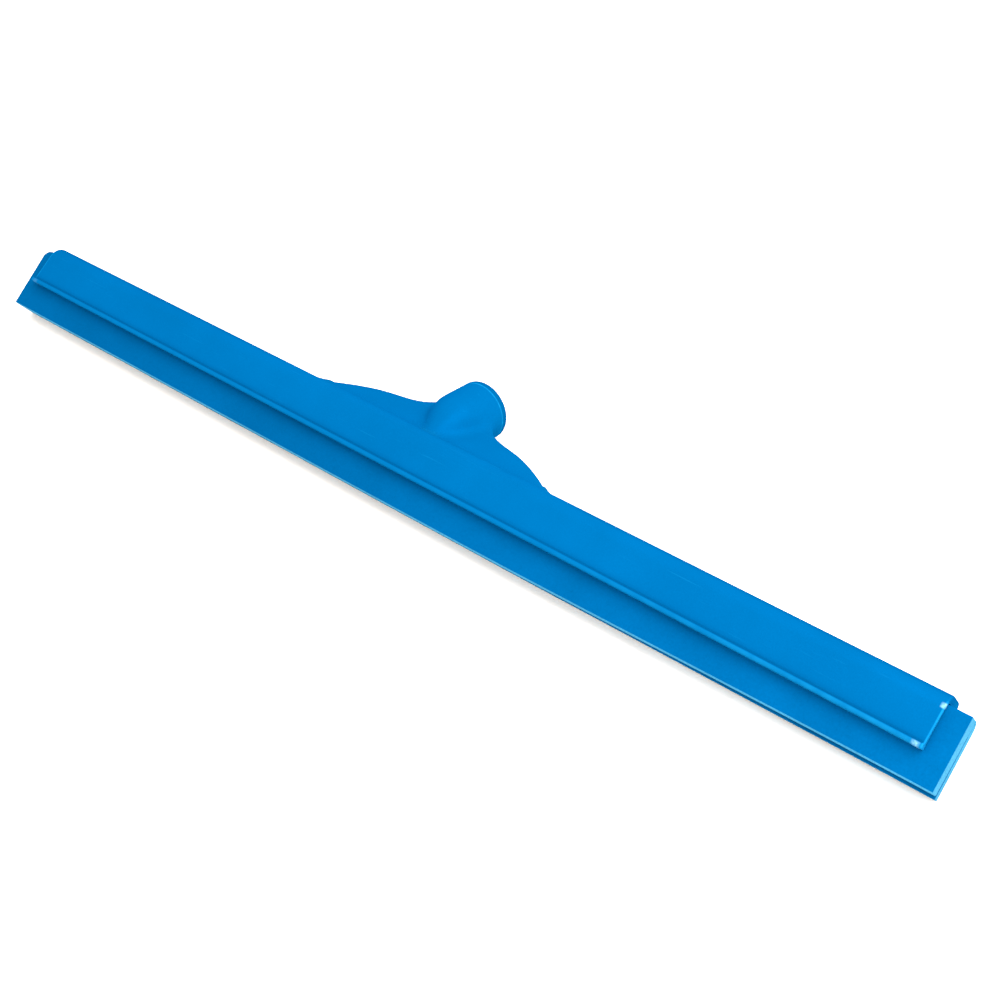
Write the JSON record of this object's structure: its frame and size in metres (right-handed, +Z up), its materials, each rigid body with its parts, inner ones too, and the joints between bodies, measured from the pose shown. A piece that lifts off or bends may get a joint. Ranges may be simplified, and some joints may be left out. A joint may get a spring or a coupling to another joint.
{
  "type": "floor squeegee head",
  "caption": "Floor squeegee head: a long channel holder with an angled round handle socket on a fan-shaped web, gripping a twin foam rubber blade refill.",
  "frame": {"origin": "middle of the bounding box, on the floor that the head lies on", "axes": "+X along the head, +Y from the blades' working edge towards the handle socket's mouth, +Z up; the head lies on its back"},
  "size_m": [0.6198, 0.0898, 0.0367],
  "materials": {
    "holder_plastic": "injection-moulded polypropylene, satin, mid blue",
    "foam_rubber": "closed-cell foam rubber, dull skin, cut ends lighter, blue",
    "bond_foam": "thin foam rubber bonding strip, blue"
  },
  "bodies": {
    "head": {"holder": "holder_plastic"},
    "refill": {"front_blade": "foam_rubber", "rear_blade": "foam_rubber", "root_strip": "bond_foam"}
  },
  "joints": [
    {"name": "refill_slide", "type": "slide", "parent": "head", "child": "refill", "axis": [1, 0, 0], "range_m": [-0.6, 0.6]}
  ]
}
